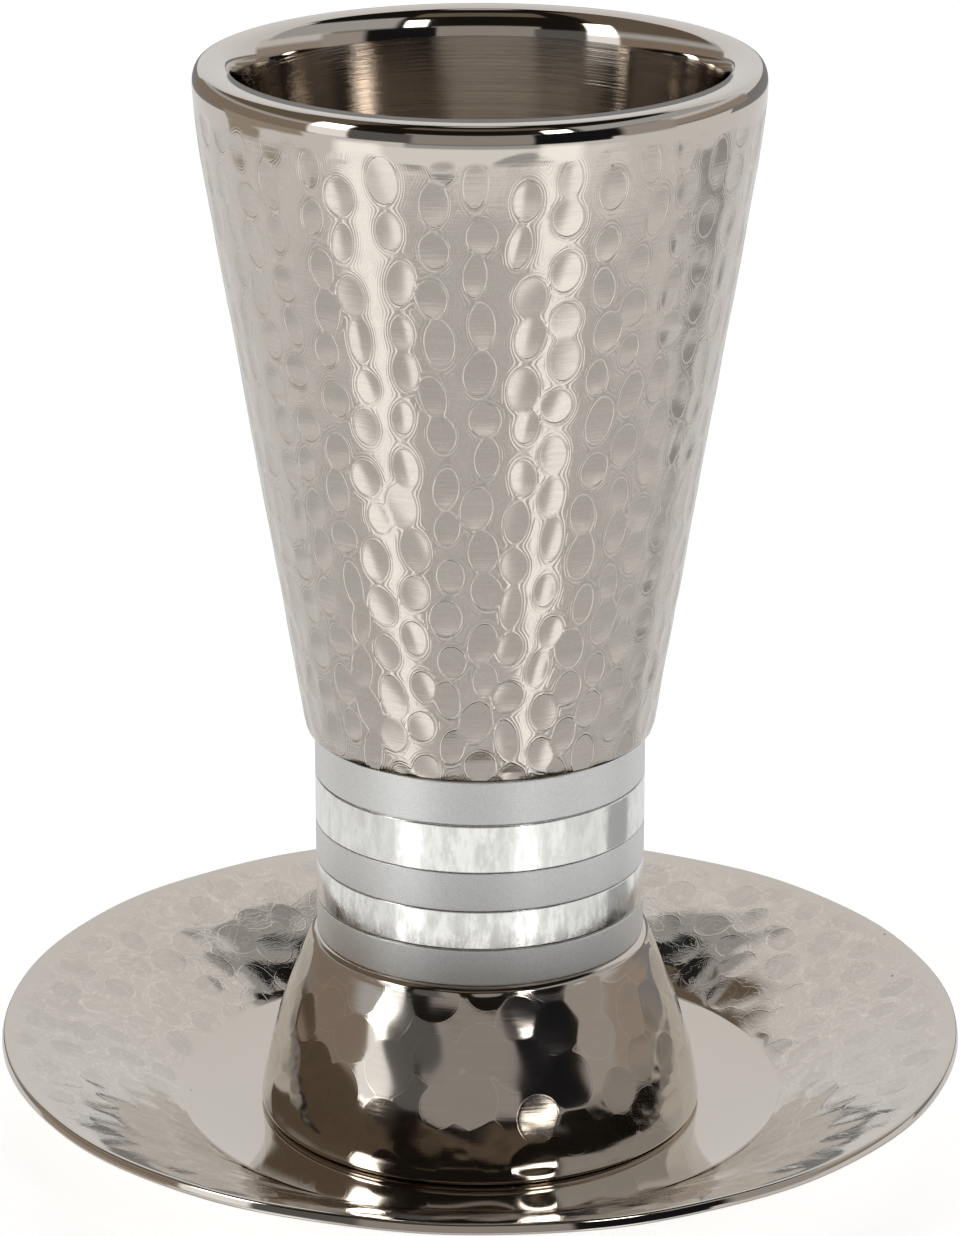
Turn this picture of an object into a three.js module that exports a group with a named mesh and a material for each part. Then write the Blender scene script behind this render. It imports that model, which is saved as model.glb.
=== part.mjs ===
// A kiddush cup on its saucer. A thick-walled conical bowl stands on five stacked
// metal discs and a bell-shaped foot, and the foot rests loose on a shallow saucer.
// Every piece is turned about the Z axis. Millimetres, +Z up, with the origin under
// the middle of the saucer.

import * as THREE from 'three';

// Segments round every turned piece.
const SEGMENTS = 64;

// Clearance between two pieces that meet.
const SEAM = 0.3;

// Saucer: one pressed sheet with a flat middle, a shallow dish and a rim that rises
// steeply from a crease and flattens towards its edge.
const SAUCER_RADIUS = 64.1;
const SAUCER_SHEET = 1.5;
const SAUCER_RIM_START_ANGLE = THREE.MathUtils.degToRad(32);
const SAUCER_RIM_END_ANGLE = THREE.MathUtils.degToRad(14.5);
const SAUCER_FLAT_RADIUS = 30;
const SAUCER_CREASE_RADIUS = 40;
const SAUCER_CREASE_RISE = 1.3;
const SAUCER_DISH_STEPS = 3;
const SAUCER_RIM_STEPS = 4;

// Foot: a bell whose sides swell towards a small bead at the bottom, hollow below.
const FOOT_HEIGHT = 24.65;
const FOOT_TOP_RADIUS = 22.2;
const FOOT_BOTTOM_RADIUS = 29.5;
const FOOT_SWELL = 1.43;
const FOOT_STEPS = 6;
const FOOT_SHOULDER = 0.5;
const FOOT_BEAD = 0.8;
const FOOT_WALL = 3.4;
const FOOT_ROOF = 5.5;

// Rings: five plain discs of one radius, named from the foot upwards.
const RING_RADIUS = 21.75;
const RING_BEVEL = 0.2;
const RINGS = [
  { name: 'bottom_satin_ring', height: 4.65, satin: true },
  { name: 'lower_polished_ring', height: 5.15, satin: false },
  { name: 'middle_satin_ring', height: 5, satin: true },
  { name: 'upper_polished_ring', height: 6.2, satin: false },
  { name: 'top_satin_ring', height: 5.7, satin: true },
];

// Bowl: an open cone that draws in a little below its broad lip. The lip is rounded
// outside and bevelled inside.
const BOWL_HEIGHT = 88.45;
const LIP_RADIUS = 36.3;
const LIP_OUTER_ROUND = 1.2;
const LIP_WALL = 4.2;
const LIP_BEVEL_WIDTH = 1.6;
const LIP_BEVEL_HEIGHT = 3.6;
const LIP_DRAW = 0.7;
const LIP_DRAW_HEIGHT = 12;
const LIP_DRAW_STEPS = 3;
const BOWL_FOOT_RADIUS = 22.85;
const BOWL_CORNER = 1.2;
const BOWL_FLOOR = 5.8;
const CAVITY_FLOOR_RADIUS = 19;
const CAVITY_CORNER = 4;
const CORNER_STEPS = 4;

const NICKEL = 0xc4bcb4;
const DARK_NICKEL = 0xa39a92;
const SATIN_ALUMINIUM = 0xb9bdc0;
const POLISHED_ALUMINIUM = 0xe4e5e7;

// Points along an arc in the (radius, height) plane. Angles are in radians,
// counter-clockwise from the outward direction.
function arc(centre, radius, from, to, steps = CORNER_STEPS) {
  const points = [];
  for (let step = 0; step <= steps; step += 1) {
    const angle = THREE.MathUtils.lerp(from, to, step / steps);
    const offset = new THREE.Vector2(Math.cos(angle), Math.sin(angle));
    points.push(centre.clone().addScaledVector(offset, radius));
  }
  return points;
}

// A turned solid: the outline runs from the axis, up the outside, and back to the axis.
function turned(name, outline, material) {
  const geometry = new THREE.LatheGeometry(outline, SEGMENTS);
  geometry.rotateX(Math.PI / 2);
  const mesh = new THREE.Mesh(geometry, material);
  mesh.name = name;
  return mesh;
}

function metal(color, roughness) {
  return new THREE.MeshStandardMaterial({ color, roughness, metalness: 1 });
}

// Points along a face of the saucer's sheet, from the axis to the rim's edge. The dish
// rises as a parabola to the crease, and the rim flattens evenly from there.
function saucerFace(rimRadius) {
  const face = [new THREE.Vector2(0, 0), new THREE.Vector2(SAUCER_FLAT_RADIUS, 0)];
  for (let step = 1; step <= SAUCER_DISH_STEPS; step += 1) {
    const share = step / SAUCER_DISH_STEPS;
    const radius = THREE.MathUtils.lerp(SAUCER_FLAT_RADIUS, SAUCER_CREASE_RADIUS, share);
    face.push(new THREE.Vector2(radius, SAUCER_CREASE_RISE * share * share));
  }
  const width = rimRadius - SAUCER_CREASE_RADIUS;
  const steep = Math.tan(SAUCER_RIM_START_ANGLE);
  const gentle = Math.tan(SAUCER_RIM_END_ANGLE);
  for (let step = 1; step <= SAUCER_RIM_STEPS; step += 1) {
    const share = step / SAUCER_RIM_STEPS;
    const climb = width * share * (steep - ((steep - gentle) * share) / 2);
    face.push(new THREE.Vector2(SAUCER_CREASE_RADIUS + width * share, SAUCER_CREASE_RISE + climb));
  }
  return face;
}

// The rim's edge is cut square to the sheet, so the upper face ends a little inside
// the lower one.
function makeSaucer() {
  const inset = SAUCER_SHEET * Math.sin(SAUCER_RIM_END_ANGLE);
  const lift = SAUCER_SHEET * Math.cos(SAUCER_RIM_END_ANGLE);
  const upper = saucerFace(SAUCER_RADIUS - inset);
  const edge = upper[upper.length - 1];
  const lower = saucerFace(SAUCER_RADIUS);
  lower[lower.length - 1].y = edge.y + SAUCER_SHEET - lift;
  upper.forEach((point) => point.setY(point.y + SAUCER_SHEET));
  return turned('saucer', [...lower, ...upper.reverse()], metal(NICKEL, 0.22));
}

// The foot's outer radius at a height above its underside, as a bell curve.
function footRadius(height) {
  const drop = 1 - height / FOOT_HEIGHT;
  const swell = 1 - (1 - drop) ** FOOT_SWELL;
  return THREE.MathUtils.lerp(FOOT_TOP_RADIUS, FOOT_BOTTOM_RADIUS, swell);
}

// Points up the foot's side between two heights, moved inwards by a wall thickness.
function footSide(low, high, inset) {
  const side = [];
  for (let step = 0; step <= FOOT_STEPS; step += 1) {
    const height = THREE.MathUtils.lerp(low, high, step / FOOT_STEPS);
    side.push(new THREE.Vector2(footRadius(height) - inset, height));
  }
  return side;
}

function makeFoot() {
  const roof = FOOT_HEIGHT - FOOT_ROOF;
  const shoulder = FOOT_HEIGHT - FOOT_SHOULDER;
  const cavity = footSide(0, roof, FOOT_WALL).reverse();
  const bead = new THREE.Vector2(footRadius(FOOT_BEAD) - FOOT_BEAD, FOOT_BEAD);
  const outline = [
    new THREE.Vector2(0, roof),
    ...cavity,
    ...arc(bead, FOOT_BEAD, -Math.PI / 2, 0).slice(0, -1),
    ...footSide(FOOT_BEAD, shoulder, 0),
    new THREE.Vector2(FOOT_TOP_RADIUS - FOOT_SHOULDER, FOOT_HEIGHT),
    new THREE.Vector2(0, FOOT_HEIGHT),
  ];
  return turned('foot', outline, metal(DARK_NICKEL, 0.12));
}

function makeRing({ name, height, satin }) {
  const outline = [
    new THREE.Vector2(0, 0),
    new THREE.Vector2(RING_RADIUS - RING_BEVEL, 0),
    new THREE.Vector2(RING_RADIUS, RING_BEVEL),
    new THREE.Vector2(RING_RADIUS, height - RING_BEVEL),
    new THREE.Vector2(RING_RADIUS - RING_BEVEL, height),
    new THREE.Vector2(0, height),
  ];
  const finish = satin ? metal(SATIN_ALUMINIUM, 0.45) : metal(POLISHED_ALUMINIUM, 0.18);
  return turned(name, outline, finish);
}

// Points up the outside of the bowl from where it starts to draw in to its lip. The
// draw grows as the square of the height, so it leaves the cone smoothly.
function drawnSide(lipHeight, slope) {
  const side = [];
  for (let step = 0; step <= LIP_DRAW_STEPS; step += 1) {
    const share = step / LIP_DRAW_STEPS;
    const below = LIP_DRAW_HEIGHT * (1 - share);
    const cone = LIP_RADIUS + LIP_DRAW - slope * below;
    side.push(new THREE.Vector2(cone - LIP_DRAW * share * share, lipHeight - below));
  }
  return side;
}

// The bowl's outside is a straight cone from its lower corner to just below its lip,
// where it draws in. Its inside is a cone from the lip's bevel to a rounded floor.
function makeBowl() {
  const lipHeight = BOWL_HEIGHT - LIP_OUTER_ROUND;
  const slope = (LIP_RADIUS + LIP_DRAW - BOWL_FOOT_RADIUS) / lipHeight;
  const lean = Math.atan(slope);
  const corner = new THREE.Vector2(BOWL_FOOT_RADIUS - BOWL_CORNER, BOWL_CORNER);
  const outerLip = new THREE.Vector2(LIP_RADIUS - LIP_OUTER_ROUND, lipHeight);
  const mouthRadius = LIP_RADIUS - LIP_WALL;
  const cavityCorner = new THREE.Vector2(
    CAVITY_FLOOR_RADIUS - CAVITY_CORNER,
    BOWL_FLOOR + CAVITY_CORNER,
  );
  const outline = [
    new THREE.Vector2(0, 0),
    ...arc(corner, BOWL_CORNER, -Math.PI / 2, -lean),
    ...drawnSide(lipHeight, slope).slice(0, -1),
    ...arc(outerLip, LIP_OUTER_ROUND, 0, Math.PI / 2),
    new THREE.Vector2(mouthRadius, BOWL_HEIGHT),
    new THREE.Vector2(mouthRadius - LIP_BEVEL_WIDTH, BOWL_HEIGHT - LIP_BEVEL_HEIGHT),
    ...arc(cavityCorner, CAVITY_CORNER, -lean, -Math.PI / 2),
    new THREE.Vector2(0, BOWL_FLOOR),
  ];
  return turned('bowl', outline, metal(NICKEL, 0.35));
}

// The pieces stand on each other with a seam between each pair.
const cup = new THREE.Group();
cup.add(makeSaucer());

let standing = SAUCER_SHEET + SEAM;
function stack(piece, height) {
  piece.position.z = standing;
  standing += height + SEAM;
  cup.add(piece);
}

stack(makeFoot(), FOOT_HEIGHT);
RINGS.forEach((ring) => stack(makeRing(ring), ring.height));
stack(makeBowl(), BOWL_HEIGHT);

export default cup;
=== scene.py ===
"""A hammered nickel kiddush cup with a ringed neck, standing on its hammered saucer.

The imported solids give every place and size. Each piece is spun from a half-section that
follows its solid, pressed with hammer marks where the metal was worked, and dressed in a
procedural metal. Lengths are metres and angles radians unless a name says otherwise.
"""

import logging
import math
from dataclasses import dataclass, field
from enum import Enum
from functools import cached_property, reduce
from typing import Callable

import bmesh
import bpy
import numpy as np
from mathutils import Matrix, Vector


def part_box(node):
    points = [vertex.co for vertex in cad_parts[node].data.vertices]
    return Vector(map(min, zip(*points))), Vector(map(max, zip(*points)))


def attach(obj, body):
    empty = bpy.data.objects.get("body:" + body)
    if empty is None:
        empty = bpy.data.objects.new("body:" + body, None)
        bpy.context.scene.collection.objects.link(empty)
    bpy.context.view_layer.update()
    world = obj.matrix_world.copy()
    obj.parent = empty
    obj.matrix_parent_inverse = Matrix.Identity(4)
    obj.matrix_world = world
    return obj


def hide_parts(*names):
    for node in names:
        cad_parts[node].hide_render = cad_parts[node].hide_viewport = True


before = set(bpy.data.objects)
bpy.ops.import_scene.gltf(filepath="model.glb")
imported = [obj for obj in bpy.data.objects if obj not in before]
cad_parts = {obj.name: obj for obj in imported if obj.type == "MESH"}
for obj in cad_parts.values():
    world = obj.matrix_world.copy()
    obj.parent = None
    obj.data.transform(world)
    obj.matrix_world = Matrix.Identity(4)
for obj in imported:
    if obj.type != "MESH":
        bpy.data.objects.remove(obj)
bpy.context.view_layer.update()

log = logging.getLogger("kiddush_cup")

BODY = "root"
MM = 0.001
QUARTER = math.pi / 2.0
FINE_SEGMENTS = 448
PLAIN_SEGMENTS = 256
SAME_POINT = 1e-7
MERGE_DISTANCE = 1e-6


class Zone(Enum):
    """Which finish a stretch of a half-section takes, as a material index."""

    OUTSIDE = 0
    INSIDE = 1


# --------------------------------------------------------------------------- half-sections


Point = tuple[float, float]
Curve = Callable[[float], Point]


@dataclass(frozen=True)
class SectionPoint:
    """A point of a half-section.

    radius and height place it, along is its distance from the section's start, press is how
    fully hammer marks bite there, and zone is the finish of the metal before it.
    """

    radius: float
    height: float
    along: float = 0.0
    press: float = 0.0
    zone: Zone = Zone.OUTSIDE


@dataclass
class HalfSection:
    """A closed half-section, drawn from the axis and back to it, that is spun about Z.

    Attributes:
        base: Height of its first point, on the axis.
        press: How fully hammer marks bite on what is drawn next.
        zone: The finish of what is drawn next.
        points: What is drawn so far.
    """

    base: float
    press: float = 0.0
    zone: Zone = Zone.OUTSIDE
    points: list[SectionPoint] = field(default_factory=list)

    def __post_init__(self) -> None:
        """Begin on the axis."""
        self.points.append(SectionPoint(0.0, self.base))

    @property
    def end(self) -> SectionPoint:
        """The point drawn last."""
        return self.points[-1]

    def reach(self, radius: float, height: float) -> None:
        """Draw straight to a point, unless it falls on the last one.

        Args:
            radius: Distance of the point from the axis.
            height: Height of the point.
        """
        step = math.hypot(radius - self.end.radius, height - self.end.height)
        if step >= SAME_POINT:
            along = self.end.along + step
            self.points.append(SectionPoint(radius, height, along, self.press, self.zone))

    def line(self, *corners: Point, steps: int = 1) -> None:
        """Draw straight through some corners.

        Args:
            corners: The corners.
            steps: Number of equal steps that each stretch is cut into.
        """
        for radius, height in corners:
            last = self.end
            out, up = radius - last.radius, height - last.height
            self.follow(lambda share: (last.radius + out * share, last.height + up * share), steps)

    def follow(self, curve: Curve, steps: int) -> None:
        """Draw along a curve.

        Args:
            curve: Gives a point for a share from 0 to 1.
            steps: Number of steps.
        """
        for step in range(1, steps + 1):
            self.reach(*curve(step / steps))

    def hammered(self, curve: Curve, steps: int) -> tuple[float, float]:
        """Draw along a curve where hammer marks bite fully.

        Args:
            curve: Gives a point for a share from 0 to 1.
            steps: Number of steps.

        Returns:
            Where the stretch starts and ends, as distances along the section.
        """
        start = self.end.along
        self.press = 1.0
        self.follow(curve, steps)
        self.press = 0.0
        return start, self.end.along

    def arc(
        self,
        centre: Point,
        radius: float,
        start: float,
        end: float,
        steps: int = 6,
        tall: float = 0.0,
    ) -> None:
        """Draw to the start of an arc and round it.

        Args:
            centre: Centre of the arc.
            radius: Radius of the arc.
            start: First angle, counter-clockwise from outwards.
            end: Last angle.
            steps: Number of steps round the arc.
            tall: The arc's radius upwards, where it is an oval.
        """
        for step in range(steps + 1):
            angle = start + (end - start) * step / steps
            rise = (tall or radius) * math.sin(angle)
            self.reach(centre[0] + radius * math.cos(angle), centre[1] + rise)

    def spin(self, name: str, segments: int) -> bpy.types.Object:
        """Spin the half-section into a closed piece.

        Args:
            name: Name of the piece.
            segments: Number of steps round the axis.

        Returns:
            The piece, with the point attributes "along" and "press".
        """
        bm = bmesh.new()
        along = bm.verts.layers.float.new("along")
        press = bm.verts.layers.float.new("press")
        zone = bm.verts.layers.int.new("zone")
        verts = []
        for point in self.points:
            vert = bm.verts.new((point.radius, 0.0, point.height))
            vert[along] = point.along
            vert[press] = point.press
            vert[zone] = point.zone.value
            verts.append(vert)
        edges = [bm.edges.new(pair) for pair in zip(verts, verts[1:])]
        bmesh.ops.spin(
            bm,
            geom=verts + edges,
            cent=(0.0, 0.0, 0.0),
            axis=(0.0, 0.0, 1.0),
            angle=2.0 * math.pi,
            steps=segments,
            use_merge=True,
        )
        bmesh.ops.remove_doubles(bm, verts=bm.verts, dist=MERGE_DISTANCE)
        bmesh.ops.recalc_face_normals(bm, faces=bm.faces)
        for face in bm.faces:
            face.smooth = True
            face.material_index = max(vert[zone] for vert in face.verts)
        return settle(bm, name)


def settle(bm: bmesh.types.BMesh, name: str) -> bpy.types.Object:
    """Turn a bmesh into an object of the scene.

    Args:
        bm: The bmesh, which is freed.
        name: Name of the object and its mesh.

    Returns:
        The object.
    """
    mesh = bpy.data.meshes.new(name)
    bm.to_mesh(mesh)
    bm.free()
    piece = bpy.data.objects.new(name, mesh)
    bpy.context.scene.collection.objects.link(piece)
    return piece


# -------------------------------------------------------------------------- hammered relief


def read(source: bpy.types.bpy_prop_collection, name: str, width: int = 1) -> np.ndarray:
    """Read one property of every item.

    Args:
        source: The items.
        name: The property.
        width: How many numbers it holds.

    Returns:
        An array of doubles, with a row for each item.
    """
    values = np.zeros(len(source) * width, np.float32)
    source.foreach_get(name, values)
    return values.astype(float).reshape(-1, width).squeeze()


def smooth_step(value: np.ndarray, low: float, high: float) -> np.ndarray:
    """Ramp from 0 at low to 1 at high with soft ends."""
    share = np.clip((value - low) / (high - low), 0.0, 1.0)
    return share * share * (3.0 - 2.0 * share)


class Surface:
    """The points of a spun piece as arrays.

    Attributes:
        mesh: The piece's mesh.
        place: Where each point is.
        turn: Its angle round the axis.
        radius: Its distance from the axis.
        along: Its distance along the half-section.
        press: How fully hammer marks bite there.
    """

    def __init__(self, piece: bpy.types.Object) -> None:
        """Read a spun piece."""
        self.mesh = piece.data
        self.place = read(self.mesh.vertices, "co", 3)
        self.turn = np.arctan2(self.place[:, 1], self.place[:, 0])
        self.radius = np.hypot(self.place[:, 0], self.place[:, 1])
        self.along = read(self.mesh.attributes["along"].data, "value")
        self.press = read(self.mesh.attributes["press"].data, "value")

    def store(self, name: str, values: np.ndarray) -> None:
        """Write a float attribute.

        Args:
            name: Its name.
            values: One value a point.
        """
        kept = self.mesh.attributes.get(name)
        attribute = kept or self.mesh.attributes.new(name, "FLOAT", "POINT")
        attribute.data.foreach_set("value", values.astype(np.float32))

    def move(self, shift: np.ndarray) -> None:
        """Move every point.

        Args:
            shift: How far, with a row for each point.
        """
        self.place += shift
        self.mesh.vertices.foreach_set("co", self.place.astype(np.float32).ravel())
        self.mesh.update()

    def fade_ends(self, start: float, end: float, first: float, last: float) -> None:
        """Let the hammering die away towards both ends of a worked stretch.

        Args:
            start: Distance along the section where the stretch starts.
            end: Distance along the section where it ends.
            first: Length over which it fades in.
            last: Length over which it fades out.
        """
        rise = smooth_step(self.along, start, start + first)
        fall = 1.0 - smooth_step(self.along, end - last, end)
        self.store("press", self.press * rise * fall)


@dataclass(frozen=True)
class Waves:
    """A slow waviness round the axis, left by handwork.

    Attributes:
        height: Height of the largest wave.
        counts: Waves in one turn, for each of the waves that are added up.
        shifts: Where each of them starts.
        twist: How far the waves turn along the section, in radians a metre.
    """

    height: float
    counts: tuple[int, ...]
    shifts: tuple[float, ...]
    twist: float = 0.0

    def at(self, turn: np.ndarray, along: np.ndarray | float = 0.0) -> np.ndarray:
        """Sum the waves.

        Args:
            turn: Angles round the axis.
            along: Distances along the section.

        Returns:
            The height of the summed waves there. Each next wave is lower and leans the other way.
        """
        total = np.zeros_like(turn)
        for order, (count, shift) in enumerate(zip(self.counts, self.shifts)):
            lean = self.twist * along * (-1.0) ** order
            total += np.sin(count * (turn + lean) + shift) / (1.0 + 0.5 * order)
        return total * self.height


@dataclass(frozen=True)
class Mark:
    """One oval blow of the hammer on a turned surface.

    turn is its angle round the axis, along its distance along the section, and tilt how far
    its long side leans. half_width runs round the axis and half_height along the section.
    tone, from 0 to 1, is how dark the metal inside looks.
    """

    turn: float
    along: float
    half_width: float
    half_height: float
    depth: float
    tilt: float
    tone: float


@dataclass(frozen=True)
class Hammering:
    """Rows of hammer marks round a turned surface, and what they do to the metal.

    Attributes:
        columns: Marks in one row round the axis.
        rows: Rows of marks along the section.
        half_width: Half a mark's width round the axis.
        half_height: Half a mark's height along the section.
        depth: Depth of a full blow.
        ridge: Height that the metal is pushed up to between marks.
        scatter: How far sizes stray, as a share.
        wander: How far places stray, as a share of the space between marks.
        tilt: How far a mark leans at most.
        seed: Seed of the random draws.
        slow: The slow unevenness under the marks.
        early: How far before the worked stretch the rows start.
        late: How far past the worked stretch they end.
        stagger: How far a column strays from its staggered place, as a share of a row.
        row_wander: How much of the wander is taken along the section.
        reach: How far along and across a mark is felt, in half heights and half widths.
        soft: Width in millimetres over which the outlines of neighbours melt together.
        swell: Width in millimetres over which the metal rises outside a mark.
        shore_range: Least and largest distance from an outline that is stored, in millimetres.
    """

    columns: int
    rows: int
    half_width: float
    half_height: float
    depth: float
    ridge: float
    scatter: float
    wander: float
    tilt: float
    seed: int
    slow: Waves
    early: float
    late: float
    stagger: float = 0.22
    row_wander: float = 0.6
    reach: tuple[float, float] = (1.9, 2.6)
    soft: float = 0.28
    swell: float = 0.5
    shore_range: tuple[float, float] = (-2.0, 3.0)

    def marks(self, start: float, end: float) -> list[Mark]:
        """Lay the marks out in staggered columns.

        Args:
            start: Distance along the section where the rows start.
            end: Distance along the section where they end.

        Returns:
            The marks.
        """
        rng = np.random.default_rng(self.seed)
        pitch = (end - start) / self.rows
        marks = []
        for column in range(self.columns):
            stagger = 0.5 * (column % 2) + rng.uniform(-self.stagger, self.stagger)
            for row in range(-1, self.rows + 1):
                stray = rng.uniform(-1.0, 1.0, 7)
                off = stagger + stray[0] * self.wander * self.row_wander
                along = start + (row + 0.5 + off) * pitch
                if not start < along < end:
                    continue
                mark = Mark(
                    turn=2.0 * math.pi * (column + stray[1] * self.wander) / self.columns,
                    along=along,
                    half_width=self.half_width * (1.0 + stray[2] * self.scatter),
                    half_height=self.half_height * (1.0 + stray[3] * self.scatter),
                    depth=self.depth * (1.0 + 2.0 * stray[4] * self.scatter),
                    tilt=self.tilt * stray[5],
                    tone=0.5 + 0.5 * stray[6],
                )
                marks.append(mark)
        return marks

    def press(self, piece: bpy.types.Object, start: float, end: float) -> None:
        """Press the marks into a piece and store what the finishes read.

        Each mark is a shallow cap, and the deepest cap wins, so neighbours meet in a crisp
        edge. The point attribute "shore" is the distance in millimetres outside the nearest
        mark's outline, softened between marks, and negative inside one. "tone" is the tone of
        the mark that a point lies in, and "worked" is how fully the metal was hammered there.

        Args:
            piece: A spun piece.
            start: Distance along the section where the worked stretch starts.
            end: Distance along the section where it ends.
        """
        surface = Surface(piece)
        depth, tone, nearness = np.zeros((3, surface.along.size))
        order = np.argsort(surface.along)
        ranked = surface.along[order]
        for mark in self.marks(start - self.early, end + self.late):
            reach = mark.half_height * self.reach[0]
            low, high = np.searchsorted(ranked, (mark.along - reach, mark.along + reach))
            near = order[low:high]
            away = np.angle(np.exp(1j * (surface.turn[near] - mark.turn)))
            across = away * surface.radius[near]
            close = np.abs(across) < mark.half_width * self.reach[1]
            near, across = near[close], across[close]
            up = surface.along[near] - mark.along
            cos, sin = math.cos(mark.tilt), math.sin(mark.tilt)
            wide = (across * cos + up * sin) / mark.half_width
            tall = (up * cos - across * sin) / mark.half_height
            ring = np.sqrt(wide**2 + tall**2)
            cap = mark.depth * (ring**2 - 1.0)
            tone[near] = np.where(cap < depth[near], mark.tone, tone[near])
            depth[near] = np.minimum(depth[near], cap)
            size = min(mark.half_width, mark.half_height) / MM
            nearness[near] += np.exp(-(ring - 1.0) * size / self.soft)
        shore = np.clip(-self.soft * np.log(nearness + 1e-6), *self.shore_range)
        swell = self.ridge * (1.0 - np.exp(-np.clip(shore, 0.0, None) / self.swell))
        slow = self.slow.at(surface.turn, surface.along)
        rise = (depth + swell + slow) * surface.press
        surface.store("shore", shore)
        surface.store("tone", tone)
        surface.store("worked", np.clip(surface.press, 0.0, 1.0))
        surface.move(read(surface.mesh.vertices, "normal", 3) * rise[:, None])


# ------------------------------------------------------------------------------ node trees


Socket = bpy.types.NodeSocket
Value = float | Socket
Colour = tuple[float, float, float]


def opaque(colour: float | Colour) -> tuple[float, float, float, float]:
    """Add full alpha to a colour, or to a grey given as one number."""
    return (*colour, 1.0) if isinstance(colour, tuple) else (colour, colour, colour, 1.0)


class Tree:
    """A thin hand for building shader nodes in an emptied node tree."""

    def __init__(self, graph: bpy.types.NodeTree) -> None:
        """Take a node tree and empty it."""
        graph.nodes.clear()
        self.graph = graph

    def add(self, kind: str, *values: object, **settings: object) -> bpy.types.Node:
        """Add a node.

        Args:
            kind: The node's type.
            values: Its first inputs, in their order, as sockets or constants.
            settings: Its properties.

        Returns:
            The node.
        """
        node = self.graph.nodes.new(kind)
        for name, value in settings.items():
            setattr(node, name, value)
        for socket, value in zip(node.inputs, values):
            self.feed(socket, value)
        return node

    def feed(self, socket: Socket, value: object) -> None:
        """Link a socket, or set its constant.

        Args:
            socket: The socket.
            value: The socket to link it with, or the constant.
        """
        if isinstance(value, bpy.types.NodeSocket):
            self.graph.links.new(value, socket)
        else:
            socket.default_value = value

    def fill(self, node: bpy.types.Node, **values: object) -> bpy.types.Node:
        """Feed a node's inputs by name.

        Args:
            node: The node.
            values: Sockets or constants by the names of the inputs, with _ for a blank.

        Returns:
            The node.
        """
        for name, value in values.items():
            self.feed(node.inputs[name.replace("_", " ")], value)
        return node

    def math(self, operation: str, *values: Value, clamp: bool = False) -> Socket:
        """Add a Math node, whose result clamp holds between 0 and 1."""
        return self.add("ShaderNodeMath", *values, operation=operation, use_clamp=clamp).outputs[0]

    def total(self, *values: Value) -> Socket:
        """Add values up."""
        return reduce(lambda total, value: self.math("ADD", total, value), values)

    def times(self, *values: Value) -> Socket:
        """Multiply values with each other."""
        return reduce(lambda product, value: self.math("MULTIPLY", product, value), values)

    def centred(self, value: Socket) -> Socket:
        """Move a value's middle from a half to 0."""
        return self.math("SUBTRACT", value, 0.5)

    def ramp(
        self, value: Value, low: Value, high: Value, start: Value = 0.0, end: Value = 1.0
    ) -> Socket:
        """Map a value from low..high to start..end with soft ends."""
        values = (value, low, high, start, end)
        return self.add("ShaderNodeMapRange", *values, interpolation_type="SMOOTHSTEP").outputs[0]

    def attribute(self, name: str) -> Socket:
        """Read a float attribute of the piece."""
        return self.add("ShaderNodeAttribute", attribute_name=name).outputs["Fac"]

    def place(self) -> Socket:
        """Read where a point is on the piece."""
        return self.add("ShaderNodeTexCoord").outputs["Object"]

    def noise(self, vector: Socket, scale: Value, detail: float, **others: float) -> Socket:
        """Add a Noise Texture and return its value."""
        node = self.add("ShaderNodeTexNoise")
        return self.fill(node, Vector=vector, Scale=scale, Detail=detail, **others).outputs["Fac"]

    def mix(self, factor: Value, first: object, second: object, how: str = "MIX") -> Socket:
        """Mix two colours.

        Args:
            factor: How fully the second is laid over the first.
            first: The first colour.
            second: The second colour.
            how: The blend type.

        Returns:
            The mixed colour's socket.
        """
        node = self.add("ShaderNodeMix", factor, data_type="RGBA", blend_type=how)
        for socket, colour in zip(node.inputs[6:8], (first, second)):
            self.feed(socket, colour)
        return node.outputs[2]

    def combine(self, x: Value, y: Value, z: Value) -> Socket:
        """Join three values into a vector."""
        return self.add("ShaderNodeCombineXYZ", x, y, z).outputs[0]

    def split(self, vector: Socket) -> tuple[Socket, ...]:
        """Part a vector into its three values."""
        return tuple(self.add("ShaderNodeSeparateXYZ", vector).outputs)

    def group(self, group: bpy.types.NodeTree, **values: float) -> Socket:
        """Place a node group with values for its inputs, and return its output."""
        return self.fill(self.add("ShaderNodeGroup", node_tree=group), **values).outputs[0]


class Skin(Tree):
    """A material and its node tree, with one Principled shader."""

    def __init__(self, name: str, **constants: object) -> None:
        """Make the material.

        Args:
            name: Its name.
            constants: Constants of the shader's sockets, as for fill().
        """
        self.material = bpy.data.materials.new(name)
        self.material.use_nodes = True
        super().__init__(self.material.node_tree)
        self.shader = self.fill(self.add("ShaderNodeBsdfPrincipled"), **constants)
        self.add("ShaderNodeOutputMaterial", self.shader.outputs[0])

    def relief(self, *layers: tuple[Socket, float]) -> None:
        """Raise the surface by some layers, each with its height in metres where it is 1."""
        height = self.total(*(self.times(*layer) for layer in layers))
        bump = self.fill(self.add("ShaderNodeBump"), Height=height, Distance=1.0, Strength=1.0)
        self.fill(self.shader, Normal=bump.outputs["Normal"])

    def tint(self, colour: Colour, *shades: tuple[Socket, float]) -> None:
        """Multiply a colour by some shades and make it the base colour.

        Args:
            colour: The colour.
            shades: Pairs of a factor from 0 to 1 and what is left of the colour at 1.
        """
        mixed: object = opaque(colour)
        for factor, left in shades:
            mixed = self.mix(factor, mixed, opaque(left), "MULTIPLY")
        self.fill(self.shader, Base_Color=mixed)


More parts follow.
